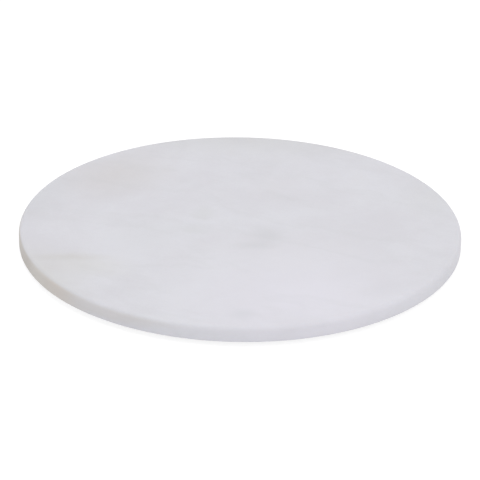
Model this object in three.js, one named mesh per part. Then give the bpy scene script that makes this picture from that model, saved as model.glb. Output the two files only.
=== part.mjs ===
// A round marble cutting board: one disc of honed white marble with a rounded upper edge.
// It stands on a ring of moulded rubber feet, each bonded to the stone by an adhesive disc.
// Millimetres, +Z up. The origin is on the counter, below the middle of the board.

import * as THREE from "three";

// Driving dimensions of the stone
const SLAB_DIAMETER = 350;
const SLAB_THICKNESS = 12;
const UPPER_EDGE_RADIUS = 3.5;
const LOWER_EDGE_RADIUS = 1;

// Driving dimensions of a foot and of the ring that the feet stand on
const FOOT_COUNT = 6;
const FOOT_INSET = 35; // from the rim of the stone to the middle of a foot
const FOOT_DIAMETER = 12.7; // at the bonded face
const FOOT_HEIGHT = 3.5;
const SOLE_DIAMETER = 11.5;
const SOLE_EDGE_RADIUS = 0.8;

// Driving dimensions of an adhesive disc
const ADHESIVE_THICKNESS = 0.5;
const ADHESIVE_MARGIN = 0.5; // how far the foot's bonded face reaches past the adhesive

// How finely the round shapes are divided
const SLAB_SEGMENTS = 120;
const FOOT_SEGMENTS = 24;
const EDGE_DIVISIONS = 3; // a quarter-round edge has twice as many steps

// Places that follow from the sizes
const SLAB_RADIUS = SLAB_DIAMETER / 2;
const FOOT_RADIUS = FOOT_DIAMETER / 2;
const SOLE_RADIUS = SOLE_DIAMETER / 2;
const ADHESIVE_RADIUS = FOOT_RADIUS - ADHESIVE_MARGIN;
const FOOT_RING_RADIUS = SLAB_RADIUS - FOOT_INSET;
const ADHESIVE_BASE = FOOT_HEIGHT;
const SLAB_BASE = ADHESIVE_BASE + ADHESIVE_THICKNESS;
const FULL_TURN = 2 * Math.PI;
const QUARTER_TURN = FULL_TURN / 4;

const honedMarble = new THREE.MeshStandardMaterial({
  name: "honed_white_marble",
  color: 0xdedde3,
  roughness: 0.42,
  metalness: 0,
});
const mouldedRubber = new THREE.MeshStandardMaterial({
  name: "milky_silicone_rubber",
  color: 0xdfdeda,
  roughness: 0.6,
  metalness: 0,
});
const acrylicAdhesive = new THREE.MeshStandardMaterial({
  name: "clear_acrylic_adhesive",
  color: 0xd9d5c6,
  roughness: 0.35,
  metalness: 0,
});

// A solid turned about the Z axis from a path of radius (x) and height (y), drawn upwards.
function turned(path, segments) {
  const geometry = new THREE.LatheGeometry(path.getPoints(EDGE_DIVISIONS), segments);
  return geometry.rotateX(QUARTER_TURN);
}

// The stone: flat below, a small arris, an upright wall, a rounded upper edge and a flat top.
function slabGeometry() {
  const path = new THREE.Path();
  path.moveTo(0, 0);
  path.lineTo(SLAB_RADIUS - LOWER_EDGE_RADIUS, 0);
  path.absarc(SLAB_RADIUS - LOWER_EDGE_RADIUS, LOWER_EDGE_RADIUS, LOWER_EDGE_RADIUS, -QUARTER_TURN, 0);
  path.absarc(
    SLAB_RADIUS - UPPER_EDGE_RADIUS,
    SLAB_THICKNESS - UPPER_EDGE_RADIUS,
    UPPER_EDGE_RADIUS,
    0,
    QUARTER_TURN,
  );
  path.lineTo(0, SLAB_THICKNESS);
  return turned(path, SLAB_SEGMENTS);
}

// A foot: a flat sole with a rounded rim, and a wall that widens to the bonded face.
function footGeometry() {
  const path = new THREE.Path();
  path.moveTo(0, 0);
  path.lineTo(SOLE_RADIUS - SOLE_EDGE_RADIUS, 0);
  path.absarc(SOLE_RADIUS - SOLE_EDGE_RADIUS, SOLE_EDGE_RADIUS, SOLE_EDGE_RADIUS, -QUARTER_TURN, 0);
  path.lineTo(FOOT_RADIUS, FOOT_HEIGHT);
  path.lineTo(0, FOOT_HEIGHT);
  return turned(path, FOOT_SEGMENTS);
}

// The adhesive disc that is punched from a sheet and bonds a foot to the stone.
function adhesiveGeometry() {
  const path = new THREE.Path();
  path.moveTo(0, 0);
  path.lineTo(ADHESIVE_RADIUS, 0);
  path.lineTo(ADHESIVE_RADIUS, ADHESIVE_THICKNESS);
  path.lineTo(0, ADHESIVE_THICKNESS);
  return turned(path, FOOT_SEGMENTS);
}

function named(name, geometry, material) {
  const mesh = new THREE.Mesh(geometry, material);
  mesh.name = name;
  return mesh;
}

// One foot with its adhesive disc on top, standing on the counter.
function footAssembly(number) {
  const assembly = new THREE.Group();
  const adhesive = named(`adhesive_disc_${number}`, adhesiveGeometry(), acrylicAdhesive);
  adhesive.position.z = ADHESIVE_BASE;
  assembly.add(named(`rubber_foot_${number}`, footGeometry(), mouldedRubber), adhesive);
  return assembly;
}

const board = new THREE.Group();
board.name = "round_marble_cutting_board";

const slab = named("marble_slab", slabGeometry(), honedMarble);
slab.position.z = SLAB_BASE;
board.add(slab);

for (let index = 0; index < FOOT_COUNT; index += 1) {
  const angle = (index / FOOT_COUNT) * FULL_TURN;
  const assembly = footAssembly(index + 1);
  assembly.position.x = FOOT_RING_RADIUS * Math.cos(angle);
  assembly.position.y = FOOT_RING_RADIUS * Math.sin(angle);
  board.add(assembly);
}

export default board;
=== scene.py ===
"""A round marble cutting board on bonded rubber feet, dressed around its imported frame.

The stone, the feet and the adhesive discs are modelled again as fine meshes in the places that the frame
gives. Lengths are metres, and a name that ends in _mm holds millimetres. +Z is up, and the camera looks
from the -Y side.
"""

import logging
import math
from collections.abc import Callable
from dataclasses import dataclass
from enum import Enum

import bmesh
import bpy
from mathutils import Matrix, Vector


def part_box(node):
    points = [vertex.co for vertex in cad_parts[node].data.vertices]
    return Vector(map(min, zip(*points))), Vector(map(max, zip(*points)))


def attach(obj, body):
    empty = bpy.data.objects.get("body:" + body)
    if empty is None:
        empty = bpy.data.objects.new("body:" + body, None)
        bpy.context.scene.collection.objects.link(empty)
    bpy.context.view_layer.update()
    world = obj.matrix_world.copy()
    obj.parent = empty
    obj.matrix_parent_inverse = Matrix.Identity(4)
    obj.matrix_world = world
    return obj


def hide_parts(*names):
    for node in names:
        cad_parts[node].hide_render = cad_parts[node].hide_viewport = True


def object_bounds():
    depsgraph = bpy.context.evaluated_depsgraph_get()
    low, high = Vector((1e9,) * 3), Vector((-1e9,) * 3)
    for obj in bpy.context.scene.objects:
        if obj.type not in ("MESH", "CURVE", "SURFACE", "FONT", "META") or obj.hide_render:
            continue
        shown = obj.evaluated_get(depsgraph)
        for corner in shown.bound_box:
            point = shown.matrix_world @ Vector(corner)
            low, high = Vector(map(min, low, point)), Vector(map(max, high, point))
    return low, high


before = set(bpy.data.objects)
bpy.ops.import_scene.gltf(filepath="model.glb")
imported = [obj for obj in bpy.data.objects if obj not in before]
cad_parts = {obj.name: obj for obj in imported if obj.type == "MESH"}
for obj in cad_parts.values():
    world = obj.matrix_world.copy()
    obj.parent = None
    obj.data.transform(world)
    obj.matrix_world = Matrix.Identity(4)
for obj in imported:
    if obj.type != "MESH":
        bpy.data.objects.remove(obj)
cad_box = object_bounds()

LOG = logging.getLogger("marble_board")
BODY = "root"  # the board has no joints, so all its pieces ride on one body
MM = 0.001
HAIR = 0.01 * MM  # heights that differ by less are the same
ROUND_PROFILE = 0.5  # the profile of a bevel that is a quarter of a circle
STRAIGHT_DOWN = -0.99  # a face looks straight down if its normal's Z is below this
WHITE = "#FFFFFF"

# A noise stays between its low and its high value nearly everywhere
NOISE_LOW, NOISE_MIDDLE, NOISE_HIGH = 0.3, 0.5, 0.7

# Inputs of the nodes that have several of one name, and those of the colour Mix node
FIRST, SECOND, THIRD = 0, 1, 2
MIX_SHARE, MIX_UNDER, MIX_OVER, MIX_RESULT = 0, 6, 7, 2

Triple = tuple[float, float, float]
Socket = bpy.types.NodeSocket
Tree = bpy.types.NodeTree
Part = bmesh.types.BMEdge | bmesh.types.BMFace


def linear(hex_colour: str) -> tuple[float, float, float, float]:
    """Turns an sRGB hex colour into the linear colour that Blender mixes, by the sRGB standard's curve.

    Args:
        hex_colour: Six hex digits after a hash sign.

    Returns:
        Red, green, blue and alpha.
    """
    shares = [int(hex_colour[at : at + 2], 16) / 255 for at in (1, 3, 5)]
    return (*(s / 12.92 if s <= 0.04045 else ((s + 0.055) / 1.055) ** 2.4 for s in shares), 1.0)


def per_metre(size_mm: float) -> float:
    """Gives how many marks of a size lie in a metre, which is the scale of their texture."""
    return 1 / (size_mm * MM)


def towards(azimuth_deg: float, elevation_deg: float) -> Vector:
    """Gives the direction from the board to something that stands round it.

    Args:
        azimuth_deg: 0 is the camera's side, -Y, and 90 is +X.
        elevation_deg: Angle above the floor.

    Returns:
        A unit vector.
    """
    azimuth, elevation = math.radians(azimuth_deg), math.radians(elevation_deg)
    level = math.cos(elevation)
    return Vector((math.sin(azimuth) * level, -math.cos(azimuth) * level, math.sin(elevation)))


def feed(tree: Tree, node: bpy.types.Node, sockets: dict[str | int, object]) -> None:
    """Sets a node's inputs, or links them where the value is another node's output.

    Args:
        tree: The tree that holds the node.
        node: The node to feed.
        sockets: Input name or number, to a value or to an output socket.
    """
    for key, value in sockets.items():
        if isinstance(value, Socket):
            tree.links.new(value, node.inputs[key])
        else:
            node.inputs[key].default_value = value


def add_node(tree: Tree, kind: str, sockets: dict[str | int, object], **settings: object) -> bpy.types.Node:
    """Adds one node with its settings and links.

    Args:
        tree: The tree that gets the node.
        kind: Blender's name for the kind of node.
        sockets: Input name or number, to a value or to an output socket.
        **settings: Properties of the node itself, such as its operation.

    Returns:
        The new node.
    """
    node = tree.nodes.new(kind)
    for name, value in settings.items():
        setattr(node, name, value)
    feed(tree, node, sockets)
    return node


def new_material(name: str) -> tuple[bpy.types.Material, Tree, bpy.types.Node]:
    """Starts a material.

    Args:
        name: What the real material is called.

    Returns:
        The material, its node tree and its main shader.
    """
    material = bpy.data.materials.new(name)
    material.use_nodes = True
    return material, material.node_tree, material.node_tree.nodes["Principled BSDF"]


@dataclass(frozen=True)
class Relief:
    """How the last tool left a face of the stone.

    Attributes:
        mark_mm: Size of a mark along X, Y and Z.
        height_mm: How high the marks stand.
        roughness: Mean roughness of the face.
    """

    mark_mm: Triple
    height_mm: float
    roughness: float


class StoneCut(Enum):
    """The ways in which the faces of the stone were worked."""

    # Fine grit leaves an even, dull sheen. Its scratches are too fine to show, so the marks are drawn as
    # coarse as the shallow waves of a honed face.
    HONED = Relief(mark_mm=(7, 7, 7), height_mm=0.012, roughness=0.5)
    # A rubbing block leaves faint level lines round the wall. Real ones lie about 0.3 mm apart, too fine
    # to show, so they are drawn coarser.
    RUBBED = Relief(mark_mm=(26, 26, 1.1), height_mm=0.02, roughness=0.6)
    # A gang saw leaves matt rows along X, drawn as far apart as real ones.
    SAWN = Relief(mark_mm=(70, 1.8, 8), height_mm=0.05, roughness=0.7)


@dataclass(frozen=True)
class Inclusion:
    """A soft-edged patch of another tint in the stone, an ellipsoid that the faces cut through.

    Attributes:
        name: What it looks like.
        centre_mm: Its middle in plan. Its height is that of the top face.
        reach_mm: Half its length, width and height.
        turn_deg: The way its length points in plan, from +X towards +Y.
        tint: Its colour.
        strength: How far it hides the stone round it, from 0 to 1.
        fading: Share of its reach over which it fades out.
    """

    name: str
    centre_mm: tuple[float, float]
    reach_mm: Triple
    turn_deg: float
    tint: str
    strength: float
    fading: float = 1.0


@dataclass(frozen=True)
class WhiteMarble:
    """Fine-grained white marble: a cool white body with faint grey clouds, hair veins and iron stains.

    The calcite lets a little light in before it scatters back, which softens the edge of the slab, and
    its honed face has a dull sheen with no mirror image. A real crystal is about 0.3 mm across, too fine
    to show, so the crystals are drawn coarser.

    Attributes:
        white: Colour of the body.
        grey: Colour of the clouds.
        cloud_mm: Size of a cloud.
        cloud_start: Value of the clouds' noise up to which the stone is white.
        cloud_full: Value from which it is grey.
        mottle_mm: Size of the mottle in the clouds.
        mottle_share: How far the mottle changes the share of grey.
        crystal_mm: Size of a crystal.
        crystal_share: How far a crystal changes the share of grey.
        vein: Colour of the hair veins.
        vein_length_mm: How far a vein runs before it turns.
        vein_spacing_mm: How far apart the veins lie.
        vein_turn_deg: The way they run in plan, from +X towards +Y.
        vein_band: How far from its middle value the veins' noise still shows a vein.
        vein_strength: How far a vein hides the stone round it.
        wander_mm: Size of the waves in the outlines of clouds, patches and veins.
        wander_reach_mm: How far the waves move an outline.
        top_mm: Height of the top face, from the frame.
        flat_without_wall_mark: How far a face looks up or down, as the Z of its normal, where the wall's
            painted shade and stain are gone.
        wall_with_full_mark: How far it does where they are full.
        roughness_swing: How far the roughness of a face rises and falls.
        ior: Refractive index.
        gloss: Level of its reflections.
        glow_share: Share of the light that scatters inside.
        glow_tint: How far red, green and blue scatter, as shares of glow_mm.
        glow_mm: How far the light scatters.
        patches: The patches that all faces show; a few also paint part of the light's falloff across the
            top.
        wall_shade_and_stains: Painted shade and iron stain that show only on the wall, darker and warmer on
            the left wall, which faces away from the lamps.
    """

    white: str = "#DEDEE4"
    grey: str = "#D9D8DE"
    cloud_mm: float = 70
    cloud_start: float = 0.34
    cloud_full: float = 0.66
    mottle_mm: float = 14
    mottle_share: float = 0.15
    crystal_mm: float = 1.3
    crystal_share: float = 0.22
    vein: str = "#C6C7C9"
    vein_length_mm: float = 170
    vein_spacing_mm: float = 60
    vein_turn_deg: float = -28
    vein_band: float = 0.05
    vein_strength: float = 0.08
    wander_mm: float = 24
    wander_reach_mm: float = 9
    top_mm: float = cad_box[1][2] / MM
    flat_without_wall_mark: float = 0.85
    wall_with_full_mark: float = 0.4
    roughness_swing: float = 0.04
    ior: float = 1.5
    gloss: float = 0.3
    glow_share: float = 0.15
    glow_tint: Triple = (1.0, 0.92, 0.85)
    glow_mm: float = 3

    patches: tuple[Inclusion, ...] = (
        # The pale patches in front and the greyer, pinker back are partly the stone's tone and partly
        # painted light: lighter towards the front right lamp, darker towards the back left.
        Inclusion("pale front with painted light", (46, -130), (128, 116, 60), 12, "#E5E3EC", 0.74),
        Inclusion("grey cast and painted shade at the back", (10, 182), (185, 72, 40), 0, "#CBCBCA", 0.45),
        Inclusion("pink cast and painted shade at the back left", (-102, 92), (72, 58, 40), 50, "#CDC8C7", 0.45),
        Inclusion("grey cast at the right", (160, 62), (68, 46, 40), 70, "#CBCCCA", 0.22),
        Inclusion("grey cast at the left rim", (-170, 50), (85, 42, 40), 74, "#C4C6C9", 0.3),
        Inclusion("warm cast at the left front", (-157, -93), (85, 52, 40), -59, "#C9C7BC", 0.3),
        Inclusion("pale band and painted light before the middle", (45, -52), (125, 60, 40), 0, "#E6E5EB", 0.27),
        Inclusion("pale patch behind the middle", (30, 75), (42, 34, 30), 0, "#E3E2E8", 0.35),
        Inclusion("grey cast at the left", (-72, -20), (60, 40, 40), 60, "#CFD0D2", 0.14),
        Inclusion("grey smudge in the middle", (22, -20), (28, 19, 20), 80, "#C3C4C7", 0.21),
        Inclusion("tail of the grey smudge", (10, -38), (28, 11, 20), 6, "#C8C9CC", 0.26),
        Inclusion("grey vein right of the middle", (41, 47), (48, 12, 20), -31, "#C8C8CA", 0.09),
        Inclusion("green-grey blotch behind", (-30, 20), (20, 14, 20), 80, "#CBCDCA", 0.22),
        Inclusion("green-grey blotch in front", (-37, -10), (18, 14, 20), 10, "#CBCDCA", 0.16),
        Inclusion("grey fleck at the front", (2, -153), (17, 13, 20), 0, "#C4C7CC", 0.22),
        Inclusion("grey patch at the front right", (108, -108), (28, 19, 20), 35, "#CBCBD0", 0.15),
        Inclusion("grey fleck at the back", (27, 119), (18, 12, 20), 40, "#C8C9CC", 0.13),
        Inclusion("warm shade before the streak", (-117, -74), (48, 30, 20), -20, "#D5D4CC", 0.27),
        Inclusion("iron streak at the left", (-133, -62), (46, 10, 20), 2, "#C5C1BB", 0.28),
    )
    # Partly painted shade, partly an iron stain: these darken and warm the left wall, the side that faces
    # away from the lamps.
    wall_shade_and_stains: tuple[Inclusion, ...] = (
        Inclusion("left wall shade and iron stain", (-164, -60), (86, 86, 30), 0, "#C9C3B9", 0.56, fading=0.5),
        Inclusion("iron stain towards the back", (-170, 42), (120, 120, 30), 0, "#CFCAC2", 0.42),
        Inclusion("darkest part of the wall shade and stain", (-169, -45), (46, 46, 30), 0, "#8B8179", 0.39, fading=0.8),
        Inclusion("rust tint before the wall shade and stain", (-136, -110), (33, 33, 30), 0, "#D3BFB2", 0.25, fading=0.9),
        Inclusion("front fade of the wall shade and stain", (-152, -88), (150, 150, 14), 0, "#D4CFCB", 0.4, fading=0.3),
    )

    def material(self, cut: StoneCut) -> bpy.types.Material:
        """Makes the stone as one of its worked faces shows it.

        Args:
            cut: How the face was worked.

        Returns:
            The new material.
        """
        relief = cut.value
        material, tree, shader = new_material(f"{cut.name.lower()}_white_marble")
        place = add_node(tree, "ShaderNodeTexCoord", {}).outputs["Object"]
        scale = [per_metre(size_mm) for size_mm in relief.mark_mm]
        stretched = add_node(tree, "ShaderNodeMapping", {"Vector": place, "Scale": scale}).outputs[0]
        marks = add_node(
            tree, "ShaderNodeTexNoise", {"Vector": stretched, "Scale": 1, "Detail": 6, "Roughness": 0.6}
        ).outputs[0]
        roughness = add_node(
            tree,
            "ShaderNodeMapRange",
            {
                "Value": marks,
                "From Min": NOISE_LOW,
                "From Max": NOISE_HIGH,
                "To Min": relief.roughness - self.roughness_swing,
                "To Max": relief.roughness + self.roughness_swing,
            },
        )
        bump = add_node(tree, "ShaderNodeBump", {"Height": marks, "Distance": relief.height_mm * MM})
        feed(
            tree,
            shader,
            {
                "Base Color": self.colour(tree, place),
                "Roughness": roughness.outputs[0],
                "Normal": bump.outputs[0],
                "IOR": self.ior,
                "Specular IOR Level": self.gloss,
                "Subsurface Weight": self.glow_share,
                "Subsurface Radius": self.glow_tint,
                "Subsurface Scale": self.glow_mm * MM,
            },
        )
        return material

    def colour(self, tree: Tree, place: Socket) -> Socket:
        """Mixes the colour of the stone through its whole thickness.

        Args:
            tree: The tree that gets the nodes.
            place: Where a point lies in the board.

        Returns:
            The colour socket.
        """
        waves = add_node(
            tree, "ShaderNodeTexNoise", {"Vector": place, "Scale": per_metre(self.wander_mm), "Detail": 3}
        )
        centred = add_node(
            tree,
            "ShaderNodeVectorMath",
            {FIRST: waves.outputs["Color"], SECOND: [NOISE_MIDDLE] * 3},
            operation="SUBTRACT",
        )
        wandered = add_node(
            tree,
            "ShaderNodeVectorMath",
            {FIRST: centred.outputs[0], SECOND: [self.wander_reach_mm * MM] * 3, THIRD: place},
            operation="MULTIPLY_ADD",
        ).outputs[0]
        colour = self.clouded(tree, wandered)
        for patch in self.patches:
            colour = self.with_inclusion(tree, wandered, colour, patch, patch.strength)
        # These paint the shade of the left wall along with its iron stain, on the wall only.
        for stain in self.wall_shade_and_stains:
            colour = self.with_inclusion(tree, wandered, colour, stain, self.wall_only_share(tree, stain.strength))
        return self.with_veins(tree, wandered, colour)

    def clouded(self, tree: Tree, place: Socket) -> Socket:
        """Mixes the white body with its grey clouds, mottle and crystals.

        Args:
            tree: The tree that gets the nodes.
            place: Where a point lies in the stone.

        Returns:
            The colour socket.
        """
        cloud = add_node(
            tree, "ShaderNodeTexNoise", {"Vector": place, "Scale": per_metre(self.cloud_mm), "Detail": 4}
        )
        cloud_share = add_node(
            tree,
            "ShaderNodeMapRange",
            {"Value": cloud.outputs[0], "From Min": self.cloud_start, "From Max": self.cloud_full},
        )
        mottle = add_node(
            tree, "ShaderNodeTexNoise", {"Vector": place, "Scale": per_metre(self.mottle_mm), "Detail": 3}
        )
        mottle_share = add_node(
            tree,
            "ShaderNodeMapRange",
            {
                "Value": mottle.outputs[0],
                "From Min": NOISE_LOW,
                "From Max": NOISE_HIGH,
                "To Min": -self.mottle_share,
                "To Max": self.mottle_share,
            },
        )
        crystal = add_node(
            tree, "ShaderNodeTexVoronoi", {"Vector": place, "Scale": per_metre(self.crystal_mm)}
        )
        crystal_share = add_node(
            tree,
            "ShaderNodeMapRange",
            {
                "Value": crystal.outputs["Color"],
                "To Min": -self.crystal_share,
                "To Max": self.crystal_share,
            },
        )
        fine_share = add_node(
            tree, "ShaderNodeMath", {FIRST: mottle_share.outputs[0], SECOND: crystal_share.outputs[0]}
        )
        grey_share = add_node(
            tree,
            "ShaderNodeMath",
            {FIRST: cloud_share.outputs[0], SECOND: fine_share.outputs[0]},
            use_clamp=True,
        )
        body = add_node(
            tree,
            "ShaderNodeMix",
            {MIX_SHARE: grey_share.outputs[0], MIX_UNDER: linear(self.white), MIX_OVER: linear(self.grey)},
            data_type="RGBA",
        )
        return body.outputs[MIX_RESULT]

    def with_inclusion(
        self, tree: Tree, place: Socket, under: Socket, inclusion: Inclusion, strength: float | Socket
    ) -> Socket:
        """Lays one inclusion over the colour of the stone round it.

        Args:
            tree: The tree that gets the nodes.
            place: Where a point lies in the stone.
            under: The colour so far.
            inclusion: The patch or stain to lay in.
            strength: How far it hides the stone, the same all over or by the face.

        Returns:
            The colour socket.
        """
        inside = add_node(
            tree,
            "ShaderNodeMapping",
            {
                "Vector": place,
                "Location": [at_mm * MM for at_mm in (*inclusion.centre_mm, self.top_mm)],
                "Rotation": (0, 0, math.radians(inclusion.turn_deg)),
                "Scale": [reach_mm * MM for reach_mm in inclusion.reach_mm],
            },
            vector_type="TEXTURE",
            label=inclusion.name,
        )
        fade = add_node(
            tree, "ShaderNodeTexGradient", {"Vector": inside.outputs[0]}, gradient_type="SPHERICAL"
        )
        share = add_node(
            tree,
            "ShaderNodeMapRange",
            {"Value": fade.outputs["Fac"], "From Max": inclusion.fading, "To Max": strength},
            interpolation_type="SMOOTHSTEP",
        )
        mixed = add_node(
            tree,
            "ShaderNodeMix",
            {MIX_SHARE: share.outputs[0], MIX_UNDER: under, MIX_OVER: linear(inclusion.tint)},
            data_type="RGBA",
        )
        return mixed.outputs[MIX_RESULT]

    def wall_only_share(self, tree: Tree, strength: float) -> Socket:
        """Gives the strength of the wall's painted shade and iron stain, which show on the wall and not on
        the flat faces.

        Args:
            tree: The tree that gets the nodes.
            strength: Its strength on the wall.

        Returns:
            A socket that falls to nothing as the face turns up or down.
        """
        normal = add_node(tree, "ShaderNodeNewGeometry", {}).outputs["Normal"]
        upward = add_node(tree, "ShaderNodeSeparateXYZ", {FIRST: normal}).outputs["Z"]
        flatness = add_node(tree, "ShaderNodeMath", {FIRST: upward}, operation="ABSOLUTE").outputs[0]
        return add_node(
            tree,
            "ShaderNodeMapRange",
            {
                "Value": flatness,
                "From Min": self.flat_without_wall_mark,
                "From Max": self.wall_with_full_mark,
                "To Max": strength,
            },
        ).outputs[0]

    def with_veins(self, tree: Tree, place: Socket, under: Socket) -> Socket:
        """Lays the faint hair veins along the bed of the stone, where a slow noise passes its middle value.

        Args:
            tree: The tree that gets the nodes.
            place: Where a point lies in the stone.
            under: The colour so far.

        Returns:
            The colour socket.
        """
        along = add_node(
            tree,
            "ShaderNodeMapping",
            {
                "Vector": place,
                "Rotation": (0, 0, math.radians(self.vein_turn_deg)),
                "Scale": (self.vein_length_mm * MM, self.vein_spacing_mm * MM, self.vein_spacing_mm * MM),
            },
            vector_type="TEXTURE",
        )
        course = add_node(
            tree,
            "ShaderNodeTexNoise",
            {"Vector": along.outputs[0], "Scale": 1, "Detail": 5, "Roughness": 0.55},
        )
        offset = add_node(
            tree, "ShaderNodeMath", {FIRST: course.outputs[0], SECOND: NOISE_MIDDLE}, operation="SUBTRACT"
        )
        distance = add_node(tree, "ShaderNodeMath", {FIRST: offset.outputs[0]}, operation="ABSOLUTE")
        share = add_node(
            tree,
            "ShaderNodeMapRange",
            {
                "Value": distance.outputs[0],
                "From Max": self.vein_band,
                "To Min": self.vein_strength,
                "To Max": 0,
            },
            interpolation_type="SMOOTHSTEP",
        )
        mixed = add_node(
            tree,
            "ShaderNodeMix",
            {MIX_SHARE: share.outputs[0], MIX_UNDER: under, MIX_OVER: linear(self.vein)},
            data_type="RGBA",
        )
        return mixed.outputs[MIX_RESULT]


@dataclass(frozen=True)
class SiliconeRubber:
    """Moulded milky silicone: soft and waxy, with light glowing a little way into it.

    The matt grain that the mould leaves in the skin is too fine to show, so it is drawn coarser.

    Attributes:
        milky: Colour of the rubber.
        hazy: Colour of the haze in it.
        haze_mm: Size of the haze.
        skin_mm: Size of the grain in the skin.
        skin_height_mm: How high the grain stands.
        skin_strength: How much of the grain shows.
        roughness: Roughness of the skin.
        ior: Refractive index.
        glow_share: Share of the light that scatters inside.
        glow_tint: How far red, green and blue scatter, as shares of glow_mm.
        glow_mm: How far the light scatters.
    """

    milky: str = "#E2E1DD"
    hazy: str = "#D4D2CB"
    haze_mm: float = 3
    skin_mm: float = 0.35
    skin_height_mm: float = 0.02
    skin_strength: float = 0.6
    roughness: float = 0.52
    ior: float = 1.41
    glow_share: float = 0.3
    glow_tint: Triple = (1.0, 0.95, 0.85)
    glow_mm: float = 1.5

    def material(self) -> bpy.types.Material:
        """Makes the rubber of the feet.

        Returns:
            The new material.
        """
        material, tree, shader = new_material("milky_silicone_rubber")
        place = add_node(tree, "ShaderNodeTexCoord", {}).outputs["Object"]
        haze = add_node(
            tree, "ShaderNodeTexNoise", {"Vector": place, "Scale": per_metre(self.haze_mm), "Detail": 3}
        )
        colour = add_node(
            tree,
            "ShaderNodeMix",
            {MIX_SHARE: haze.outputs[0], MIX_UNDER: linear(self.milky), MIX_OVER: linear(self.hazy)},
            data_type="RGBA",
        )
        skin = add_node(
            tree, "ShaderNodeTexNoise", {"Vector": place, "Scale": per_metre(self.skin_mm), "Detail": 2}
        )
        bump = add_node(
            tree,
            "ShaderNodeBump",
            {
                "Height": skin.outputs[0],
                "Strength": self.skin_strength,
                "Distance": self.skin_height_mm * MM,
            },
        )
        feed(
            tree,
            shader,
            {
                "Base Color": colour.outputs[MIX_RESULT],
                "Normal": bump.outputs[0],
                "Roughness": self.roughness,
                "IOR": self.ior,
                "Subsurface Weight": self.glow_share,
                "Subsurface Radius": self.glow_tint,
                "Subsurface Scale": self.glow_mm * MM,
            },
        )
        return material


@dataclass(frozen=True)
class AcrylicFoam:
    """Acrylic foam tape, punched into discs: faintly yellow, with fine bubbles in its cut edge.

    A real bubble is about 0.1 mm across, too fine to show, so the bubbles are drawn coarser.

    Attributes:
        clear: Colour of the acrylic.
        bubble: Colour in the middle of a bubble.
        bubble_mm: Size of a bubble.
        bubble_depth_mm: How deep a bubble is.
        bubble_strength: How much of that shows.
        roughness: Roughness of the cut.
        ior: Refractive index.
    """

    clear: str = "#DEDBCD"
    bubble: str = "#CFCAB8"
    bubble_mm: float = 0.3
    bubble_depth_mm: float = 0.03
    bubble_strength: float = 0.5
    roughness: float = 0.38
    ior: float = 1.48

    def material(self) -> bpy.types.Material:
        """Makes the adhesive of the discs.

        Returns:
            The new material.
        """
        material, tree, shader = new_material("acrylic_foam_adhesive")
        place = add_node(tree, "ShaderNodeTexCoord", {}).outputs["Object"]
        from_bubble = add_node(
            tree, "ShaderNodeTexVoronoi", {"Vector": place, "Scale": per_metre(self.bubble_mm)}
        ).outputs["Distance"]
        colour = add_node(
            tree,
            "ShaderNodeMix",
            {MIX_SHARE: from_bubble, MIX_UNDER: linear(self.bubble), MIX_OVER: linear(self.clear)},
            data_type="RGBA",
        )
        bump = add_node(
            tree,
            "ShaderNodeBump",
            {
                "Height": from_bubble,
                "Strength": self.bubble_strength,
                "Distance": self.bubble_depth_mm * MM,
            },
        )
        feed(
            tree,
            shader,
            {
                "Base Color": colour.outputs[MIX_RESULT],
                "Normal": bump.outputs[0],
                "Roughness": self.roughness,
                "IOR": self.ior,
            },
        )
        return material


class Element(Enum):
    """What a selection is made of in edit mode."""

    EDGES = "EDGE"
    FACES = "FACE"


@dataclass(frozen=True)
class RoundBlank:
    """An upright cylinder, the start of each round piece.

    Attributes:
        centre: Its middle in plan.
        radius: Its radius.
        low: Height of its lower face.
        high: Height of its upper face.
        segments: How many sides it has.
    """

    centre: tuple[float, float]
    radius: float
    low: float
    high: float
    segments: int

    @classmethod
    def round_node(cls, node: str, segments: int) -> "RoundBlank":
        """Fits a blank to the box of a round CAD node.

        Args:
            node: The node's name.
            segments: How many sides the blank has.

        Returns:
            The blank.
        """
        low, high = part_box(node)
        middle = (low + high) / 2
        return cls((middle.x, middle.y), (high.x - low.x) / 2, low.z, high.z, segments)


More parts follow.
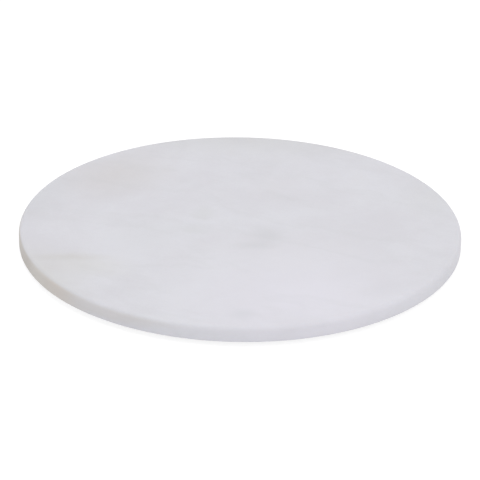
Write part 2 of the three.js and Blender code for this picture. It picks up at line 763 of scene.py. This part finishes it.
class Workpiece:
    """A new mesh on the bench, shaped by operators on edges and faces that are picked in code."""

    def __init__(self, name: str, blank: RoundBlank) -> None:
        """Adds the blank with its place in its mesh, and goes into edit mode.

        Args:
            name: Name of the piece.
            blank: The cylinder to start from.
        """
        self.blank = blank
        bpy.ops.object.select_all(action="DESELECT")
        bpy.ops.mesh.primitive_cylinder_add(
            vertices=blank.segments,
            radius=blank.radius,
            depth=blank.high - blank.low,
            location=(*blank.centre, (blank.low + blank.high) / 2),
        )
        self.object = bpy.context.object
        self.object.name = name
        self.object.data.name = name
        bpy.ops.object.transform_apply(location=True, rotation=True, scale=True)
        bpy.ops.object.mode_set(mode="EDIT")

    def pick(self, element: Element, wanted: Callable[[Part], bool]) -> None:
        """Selects the edges or faces that pass a test, and nothing else.

        Args:
            element: Whether edges or faces are picked.
            wanted: The test.
        """
        bpy.ops.mesh.select_mode(type=element.value)
        bpy.ops.mesh.select_all(action="DESELECT")
        mesh = bmesh.from_edit_mesh(self.object.data)
        for item in filter(wanted, mesh.edges if element is Element.EDGES else mesh.faces):
            item.select_set(True)
        bmesh.update_edit_mesh(self.object.data)

    def pick_level(self, element: Element, height: float) -> None:
        """Selects the edges or faces that lie flat at a height."""
        self.pick(element, lambda item: all(abs(corner.co.z - height) < HAIR for corner in item.verts))

    def round_rim(self, height: float, radius: float, steps: int) -> None:
        """Rounds the rim at a height.

        Args:
            height: Where the rim lies.
            radius: Radius of the rounding.
            steps: How many faces the rounding has.
        """
        self.pick_level(Element.EDGES, height)
        bpy.ops.mesh.bevel(
            offset=radius, segments=steps, profile=ROUND_PROFILE, affect="EDGES", clamp_overlap=False
        )

    def ring_face(self, height: float, widths: tuple[float, ...]) -> None:
        """Divides the flat face at a height into rings and closes its middle with a fan.

        Args:
            height: Where the face lies.
            widths: Width of each ring, from the rim inwards.
        """
        self.pick_level(Element.FACES, height)
        for width in widths:
            bpy.ops.mesh.inset(thickness=width, depth=0)
        bpy.ops.mesh.poke()

    def shrink_face(self, height: float, share: float) -> None:
        """Scales the flat face at a height about the middle of the piece, which tapers the wall.

        Args:
            height: Where the face lies.
            share: Its new size as a share of the old.
        """
        self.pick_level(Element.FACES, height)
        bpy.ops.transform.resize(value=(share, share, 1), center_override=(*self.blank.centre, height))

    def done(self, smooth_deg: float) -> bpy.types.Object:
        """Leaves edit mode and shades the piece smooth.

        Args:
            smooth_deg: Edges sharper than this stay crisp.

        Returns:
            The finished object.
        """
        bpy.ops.object.mode_set(mode="OBJECT")
        bpy.ops.object.shade_smooth_by_angle(angle=math.radians(smooth_deg))
        return self.object


def hand_over(piece: bpy.types.Object, node: str) -> bpy.types.Object:
    """Puts a finished piece in the place of its CAD node.

    Args:
        piece: The finished piece.
        node: The node that it stands for.

    Returns:
        The piece.
    """
    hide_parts(node)
    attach(piece, BODY)
    return piece


def copies(piece: bpy.types.Object, nodes: list[str], name: str) -> list[bpy.types.Object]:
    """Copies a piece that stands at the first node to all the others, each with its own mesh.

    Args:
        piece: The modelled piece.
        nodes: The nodes that the copies stand for, the first one's included.
        name: What the pieces are called, before their number.

    Returns:
        The pieces in the order of the nodes.
    """
    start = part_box(nodes[0])[0]
    made = [piece]
    for number, node in enumerate(nodes[1:], start=2):
        copy = piece.copy()
        copy.data = piece.data.copy()
        copy.name = copy.data.name = f"{name}_{number}"
        copy.data.transform(Matrix.Translation(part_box(node)[0] - start))
        bpy.context.scene.collection.objects.link(copy)
        made.append(copy)
    return made


def nodes_named(start: str) -> list[str]:
    """Lists the frame's nodes whose names start that way, in order."""
    return sorted(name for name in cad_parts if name.startswith(start))


@dataclass
class MarbleSlab:
    """The stone disc: honed on top, with a rounded upper edge, a rubbed wall and a sawn underside.

    Attributes:
        upper_edge_mm: Radius of the upper edge.
        lower_edge_mm: Radius of the lower arris.
        segments: Sides of the round.
        upper_edge_steps: Faces across the upper edge.
        lower_edge_steps: Faces across the lower arris.
        rim_ring_mm: Width of the narrow ring that keeps the flat faces flat up to the edge.
        ring_mm: Width of the other rings.
        ring_count: How many of those there are.
        smooth_deg: Edges sharper than this stay crisp.
        wall_tilt: A face is part of the wall if its normal's Z is below this.
        finish: The stone.
    """

    upper_edge_mm: float = 3.5
    lower_edge_mm: float = 1.0
    segments: int = 256
    upper_edge_steps: int = 10
    lower_edge_steps: int = 4
    rim_ring_mm: float = 0.8
    ring_mm: float = 28
    ring_count: int = 5
    smooth_deg: float = 40
    wall_tilt: float = 0.05
    finish: WhiteMarble = WhiteMarble()

    def build(self) -> list[bpy.types.Object]:
        """Models the stone and dresses it.

        Returns:
            The one piece.
        """
        blank = RoundBlank.round_node("marble_slab", self.segments)
        stone = Workpiece("stone_disc", blank)
        stone.round_rim(blank.high, self.upper_edge_mm * MM, self.upper_edge_steps)
        stone.round_rim(blank.low, self.lower_edge_mm * MM, self.lower_edge_steps)
        widths = (self.rim_ring_mm * MM, *[self.ring_mm * MM] * self.ring_count)
        for height in (blank.high, blank.low):
            stone.ring_face(height, widths)
        piece = stone.done(self.smooth_deg)
        self.dress(piece)
        return [hand_over(piece, "marble_slab")]

    def dress(self, piece: bpy.types.Object) -> None:
        """Gives each face of the stone the finish that its tool left.

        Args:
            piece: The modelled stone.
        """
        cuts = list(StoneCut)
        for cut in cuts:
            piece.data.materials.append(self.finish.material(cut))
        for face in piece.data.polygons:
            cut = StoneCut.HONED
            if face.normal.z < STRAIGHT_DOWN:
                cut = StoneCut.SAWN
            elif face.normal.z < self.wall_tilt:
                cut = StoneCut.RUBBED
            face.material_index = cuts.index(cut)


@dataclass
class RubberFeet:
    """The moulded feet: a tapered plug with a rounded sole rim and a grip groove in the sole.

    Attributes:
        sole_mm: Diameter of the sole before its rim is rounded.
        sole_edge_mm: Radius of the sole's rim.
        sole_edge_steps: Faces across it.
        bonded_edge_mm: Radius of the rim of the bonded face.
        bonded_edge_steps: Faces across it.
        sole_ring_mm: Width of the flat ring outside the groove.
        groove_mm: Width of the groove.
        groove_slope_mm: Width of each of its sloping sides.
        groove_depth_mm: Depth of the groove.
        segments: Sides of the round.
        smooth_deg: Edges sharper than this stay crisp.
        finish: The rubber.
    """

    sole_mm: float = 11.5
    sole_edge_mm: float = 0.8
    sole_edge_steps: int = 6
    bonded_edge_mm: float = 0.2
    bonded_edge_steps: int = 3
    sole_ring_mm: float = 1.4
    groove_mm: float = 1.2
    groove_slope_mm: float = 0.25
    groove_depth_mm: float = 0.3
    segments: int = 64
    smooth_deg: float = 50
    finish: SiliconeRubber = SiliconeRubber()

    def build(self) -> list[bpy.types.Object]:
        """Models one foot, dresses it and copies it round the ring.

        Returns:
            The feet.
        """
        nodes = nodes_named("rubber_foot_")
        blank = RoundBlank.round_node(nodes[0], self.segments)
        foot = Workpiece("moulded_foot_1", blank)
        foot.shrink_face(blank.low, self.sole_mm * MM / (2 * blank.radius))
        foot.round_rim(blank.low, self.sole_edge_mm * MM, self.sole_edge_steps)
        foot.round_rim(blank.high, self.bonded_edge_mm * MM, self.bonded_edge_steps)
        self.cut_groove(foot)
        piece = foot.done(self.smooth_deg)
        piece.data.materials.append(self.finish.material())
        feet = copies(piece, nodes, "moulded_foot")
        return [hand_over(made, node) for made, node in zip(feet, nodes)]

    def cut_groove(self, foot: Workpiece) -> None:
        """Sinks the grip groove into the sole.

        Args:
            foot: The foot on the bench.
        """
        centre = Vector((*foot.blank.centre, foot.blank.low))
        outer = (self.sole_mm / 2 - self.sole_edge_mm - self.sole_ring_mm) * MM
        inner = outer - self.groove_mm * MM

        def in_groove(face: bmesh.types.BMFace) -> bool:
            """Tells the ring of the groove from the other faces."""
            reach = (face.calc_center_median() - centre).length
            return inner < reach < outer and face.normal.z < STRAIGHT_DOWN

        foot.ring_face(foot.blank.low, (self.sole_ring_mm * MM, self.groove_mm * MM))
        foot.pick(Element.FACES, in_groove)
        bpy.ops.mesh.inset(thickness=self.groove_slope_mm * MM, depth=-self.groove_depth_mm * MM)


@dataclass
class AdhesiveDiscs:
    """The discs of foam tape between the feet and the stone, with their cut edges pressed round.

    Attributes:
        pressed_edge_mm: Radius of the rims.
        pressed_edge_steps: Faces across each rim.
        rim_ring_mm: Width of the narrow ring that keeps the flat faces flat up to the rim.
        ring_mm: Width of the next ring.
        segments: Sides of the round.
        smooth_deg: Edges sharper than this stay crisp.
        finish: The foam.
    """

    pressed_edge_mm: float = 0.2
    pressed_edge_steps: int = 4
    rim_ring_mm: float = 0.3
    ring_mm: float = 2
    segments: int = 64
    smooth_deg: float = 60
    finish: AcrylicFoam = AcrylicFoam()

    def build(self) -> list[bpy.types.Object]:
        """Models one disc, dresses it and copies it onto all the feet.

        Returns:
            The discs.
        """
        nodes = nodes_named("adhesive_disc_")
        blank = RoundBlank.round_node(nodes[0], self.segments)
        disc = Workpiece("bonding_disc_1", blank)
        for height in (blank.high, blank.low):
            disc.round_rim(height, self.pressed_edge_mm * MM, self.pressed_edge_steps)
            disc.ring_face(height, (self.rim_ring_mm * MM, self.ring_mm * MM))
        piece = disc.done(self.smooth_deg)
        piece.data.materials.append(self.finish.material())
        discs = copies(piece, nodes, "bonding_disc")
        return [hand_over(made, node) for made, node in zip(discs, nodes)]


@dataclass(frozen=True)
class PhotoCamera:
    """The camera, at the photograph's angle.

    Attributes:
        azimuth_deg: The side that it looks from.
        elevation_deg: Height above the floor, seen from the board.
        roll_deg: How far the camera leans, which tips the board's right side down.
        distance: From the aim to the camera.
        aim: The point in the middle of the picture.
        lens_mm: Focal length.
        sensor_mm: Width of the sensor.
    """

    azimuth_deg: float = 0
    elevation_deg: float = 25.97
    roll_deg: float = 0.82
    distance: float = 2.0
    aim: Triple = (0, 0, 0.00227)
    lens_mm: float = 188.65
    sensor_mm: float = 36

    def build(self) -> None:
        """Makes the camera and hands it to the scene."""
        back = towards(self.azimuth_deg, self.elevation_deg)
        turn = (-back).to_track_quat("-Z", "Y").to_matrix().to_4x4()
        lean = Matrix.Rotation(math.radians(self.roll_deg), 4, "Z")
        data = bpy.data.cameras.new("photo_camera")
        data.lens = self.lens_mm
        data.sensor_width = self.sensor_mm
        camera = bpy.data.objects.new("photo_camera", data)
        camera.matrix_world = Matrix.Translation(Vector(self.aim) + back * self.distance) @ turn @ lean
        bpy.context.scene.collection.objects.link(camera)
        bpy.context.scene.camera = camera


@dataclass(frozen=True)
class SoftLamp:
    """A large soft lamp that faces the board.

    Attributes:
        name: Which lamp it is.
        azimuth_deg: Where it stands, from the camera's side towards +X.
        elevation_deg: How high it stands.
        distance: From the board.
        size: Width and height of its face.
        power: Watts.
    """

    name: str
    azimuth_deg: float
    elevation_deg: float
    distance: float
    size: float
    power: float

    def build(self) -> None:
        """Makes the lamp."""
        data = bpy.data.lights.new(self.name, "AREA")
        data.size = self.size
        data.energy = self.power
        lamp = bpy.data.objects.new(self.name, data)
        back = towards(self.azimuth_deg, self.elevation_deg)
        lamp.location = back * self.distance
        lamp.rotation_euler = (-back).to_track_quat("-Z", "Y").to_euler()
        lamp.visible_camera = False
        bpy.context.scene.collection.objects.link(lamp)


@dataclass(frozen=True)
class Studio:
    """A white room with soft light: a pale floor that keeps the board's shadow, a world and the lamps.

    Attributes:
        floor_size: Length of each side of the floor.
        floor_drop: How far the floor lies below the soles, so that no two faces share a plane.
        floor_colour: What the floor throws back onto the board.
        floor_glow: Share of the floor that shows plain white to the camera, round the shadow.
        floor_white: Strength of that white.
        full_shadow_mm: How far from the middle of the board the floor shows no white of its own.
        open_floor_mm: How far from the middle it shows all of it.
        world_light: Strength of the light from all round.
        world_white: Strength of the white that the camera sees behind the floor.
        lamps: The lamps.
    """

    floor_size: float = 12
    floor_drop: float = 0.05 * MM
    floor_colour: str = "#FAFAFA"
    floor_glow: float = 0.7
    floor_white: float = 1.2
    full_shadow_mm: float = 138
    open_floor_mm: float = 166
    world_light: float = 0.76
    world_white: float = 1
    lamps: tuple[SoftLamp, ...] = (
        SoftLamp("front_lamp", azimuth_deg=45, elevation_deg=45, distance=1.8, size=1.0, power=4.0),
        SoftLamp("back_lamp", azimuth_deg=-135, elevation_deg=70, distance=1.8, size=1.0, power=4.6),
    )

    def build(self) -> None:
        """Lights the scene and lays the floor."""
        bpy.context.scene.view_settings.view_transform = "Standard"
        self.light_world()
        self.lay_floor()
        for lamp in self.lamps:
            lamp.build()

    def seen_directly(self, tree: Tree) -> Socket:
        """Tells the rays that show the background from those that only carry light.

        Args:
            tree: The tree that gets the nodes.

        Returns:
            A socket that is 1 for camera, glossy and transmission rays.
        """
        ray = add_node(tree, "ShaderNodeLightPath", {}).outputs
        mirrored = add_node(
            tree,
            "ShaderNodeMath",
            {FIRST: ray["Is Glossy Ray"], SECOND: ray["Is Transmission Ray"]},
            operation="MAXIMUM",
        )
        seen = add_node(
            tree,
            "ShaderNodeMath",
            {FIRST: ray["Is Camera Ray"], SECOND: mirrored.outputs[0]},
            operation="MAXIMUM",
        )
        return seen.outputs[0]

    def light_world(self) -> None:
        """Makes the world: white to look at, and an even light on the board."""
        world = bpy.data.worlds.new("white_room")
        world.use_nodes = True
        tree = world.node_tree
        tree.nodes.clear()
        light = add_node(
            tree, "ShaderNodeBackground", {"Color": linear(WHITE), "Strength": self.world_light}
        )
        white = add_node(
            tree, "ShaderNodeBackground", {"Color": linear(WHITE), "Strength": self.world_white}
        )
        mixed = add_node(
            tree,
            "ShaderNodeMixShader",
            {FIRST: self.seen_directly(tree), SECOND: light.outputs[0], THIRD: white.outputs[0]},
        )
        add_node(tree, "ShaderNodeOutputWorld", {"Surface": mixed.outputs[0]})
        bpy.context.scene.world = world

    def lay_floor(self) -> None:
        """Lays the floor under the soles."""
        bpy.ops.object.select_all(action="DESELECT")
        bpy.ops.mesh.primitive_plane_add(size=self.floor_size, location=(0, 0, -self.floor_drop))
        floor = bpy.context.object
        floor.name = "studio_floor"
        floor.data.materials.append(self.paper())

    def paper(self) -> bpy.types.Material:
        """Makes the matt white paper of the floor, which shows plain white round a soft shadow.

        Returns:
            The new material.
        """
        material, tree, _ = new_material("matt_white_paper")
        tree.nodes.clear()
        matt = add_node(tree, "ShaderNodeBsdfDiffuse", {"Color": linear(self.floor_colour)})
        glow = add_node(
            tree, "ShaderNodeEmission", {"Color": linear(WHITE), "Strength": self.floor_white}
        )
        place = add_node(tree, "ShaderNodeTexCoord", {}).outputs["Object"]
        reach = add_node(tree, "ShaderNodeVectorMath", {FIRST: place}, operation="LENGTH")
        open_floor = add_node(
            tree,
            "ShaderNodeMapRange",
            {
                "Value": reach.outputs["Value"],
                "From Min": self.full_shadow_mm * MM,
                "From Max": self.open_floor_mm * MM,
                "To Max": self.floor_glow,
            },
        )
        share = add_node(
            tree,
            "ShaderNodeMath",
            {FIRST: self.seen_directly(tree), SECOND: open_floor.outputs[0]},
            operation="MULTIPLY",
        )
        mixed = add_node(
            tree,
            "ShaderNodeMixShader",
            {FIRST: share.outputs[0], SECOND: matt.outputs[0], THIRD: glow.outputs[0]},
        )
        add_node(tree, "ShaderNodeOutputMaterial", {"Surface": mixed.outputs[0]})
        return material


def main() -> None:
    """Builds the camera, the studio and the board, and reports each piece."""
    logging.basicConfig(level=logging.INFO, format="%(name)s: %(message)s")
    PhotoCamera().build()
    Studio().build()
    for assembly in (MarbleSlab(), RubberFeet(), AdhesiveDiscs()):
        for piece in assembly.build():
            LOG.info("%s has %d faces and rides on %s", piece.name, len(piece.data.polygons), BODY)


if __name__ == "__main__":
    main()
